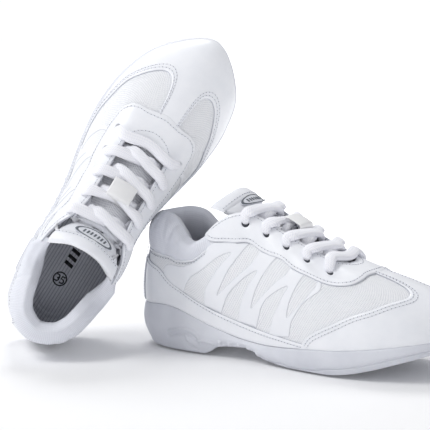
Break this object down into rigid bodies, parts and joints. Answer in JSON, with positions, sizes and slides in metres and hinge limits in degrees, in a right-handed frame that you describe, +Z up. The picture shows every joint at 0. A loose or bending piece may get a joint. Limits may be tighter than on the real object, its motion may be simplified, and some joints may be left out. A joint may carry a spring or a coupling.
{
  "type": "cheer shoes",
  "caption": "Low-cut lace-up cheer shoes as a pair: smooth white upper with mesh panels and padded collar, one standing and its mate leaning on it.",
  "frame": {"origin": "on the floor, under the middle of the standing right shoe's heel pad", "axes": "+X towards the standing shoe's toe, +Z up, +Y to its left, on its inner side"},
  "size_m": [0.325, 0.1619, 0.2068],
  "materials": {
    "sole_foam": "matt moulded foam",
    "sole_tread": "matt",
    "insole": "brushed textile",
    "upper_mesh": "knitted mesh",
    "upper_pu": "smooth semi-gloss",
    "collar_textile": "fine rib",
    "tongue_pu": "smooth",
    "badge": "printed outline",
    "lace": "flat braid",
    "aglet": "gloss tip"
  },
  "bodies": {
    "right_shoe": {"right_midsole_rear": "sole_foam", "right_outsole_heel": "sole_tread", "right_outsole_ball": "sole_tread", "right_sockliner_rear": "insole", "right_quarter_lateral": "upper_mesh", "right_quarter_medial": "upper_mesh", "right_foxing": "upper_pu", "right_heel_strip": "upper_pu", "right_eyestay": "upper_pu", "right_collar": "collar_textile", "right_tongue": "tongue_pu", "right_lace": "lace", "right_aglet_a": "aglet", "right_aglet_b": "aglet", "right_lace_keeper": "tongue_pu"},
    "right_toe": {"right_midsole_front": "sole_foam", "right_outsole_toe": "sole_tread", "right_sockliner_toe": "insole", "right_toe_cap": "upper_pu", "right_cap_wing_lateral": "upper_pu", "right_cap_wing_medial": "upper_pu", "right_vamp_mesh_lateral": "upper_mesh", "right_vamp_mesh_medial": "upper_mesh", "right_vamp_strip": "upper_pu"},
    "right_tongue_flap": {"right_tongue_top": "tongue_pu", "right_tongue_badge": "badge"},
    "left_shoe": {"left_midsole_rear": "sole_foam", "left_outsole_heel": "sole_tread", "left_outsole_ball": "sole_tread", "left_sockliner_rear": "insole", "left_quarter_lateral": "upper_mesh", "left_quarter_medial": "upper_mesh", "left_foxing": "upper_pu", "left_heel_strip": "upper_pu", "left_eyestay": "upper_pu", "left_collar": "collar_textile", "left_tongue": "tongue_pu", "left_lace": "lace", "left_aglet_a": "aglet", "left_aglet_b": "aglet", "left_lace_keeper": "tongue_pu"},
    "left_toe": {"left_midsole_front": "sole_foam", "left_outsole_toe": "sole_tread", "left_sockliner_toe": "insole", "left_toe_cap": "upper_pu", "left_cap_wing_lateral": "upper_pu", "left_cap_wing_medial": "upper_pu", "left_vamp_mesh_lateral": "upper_mesh", "left_vamp_mesh_medial": "upper_mesh", "left_vamp_strip": "upper_pu"},
    "left_tongue_flap": {"left_tongue_top": "tongue_pu", "left_tongue_badge": "badge"}
  },
  "joints": [
    {"name": "right_toe_flex", "type": "hinge", "parent": "right_shoe", "child": "right_toe", "pos_m": [0.126, 0, 0.0185], "axis": [0, -1, 0], "range_deg": [0, 25], "stiffness_Nm_per_rad": 1.5, "deforming": ["right_cap_wing_lateral", "right_cap_wing_medial", "right_vamp_mesh_lateral", "right_vamp_mesh_medial", "right_vamp_strip"]},
    {"name": "right_tongue_fold", "type": "hinge", "parent": "right_shoe", "child": "right_tongue_flap", "pos_m": [0.0436, 0, 0.0969], "axis": [0, 1, 0], "range_deg": [-6, 30], "stiffness_Nm_per_rad": 0.05},
    {"name": "left_toe_flex", "type": "hinge", "parent": "left_shoe", "child": "left_toe", "pos_m": [-0.04634, 0.01217, 0.14551], "axis": [0.6991, 0.4715, -0.5375], "range_deg": [0, 25], "stiffness_Nm_per_rad": 1.5, "deforming": ["left_cap_wing_lateral", "left_cap_wing_medial", "left_vamp_mesh_lateral", "left_vamp_mesh_medial", "left_vamp_strip"]},
    {"name": "left_tongue_fold", "type": "hinge", "parent": "left_shoe", "child": "left_tongue_flap", "pos_m": [-0.02802, -0.08295, 0.0859], "axis": [-0.6991, -0.4715, 0.5375], "range_deg": [-6, 30], "stiffness_Nm_per_rad": 0.05},
    {"name": "left_shoe_lift", "type": "slide", "parent": "right_shoe", "child": "left_shoe", "axis": [-0.6991, -0.4715, 0.5375], "range_m": [0, 0.12]}
  ]
}
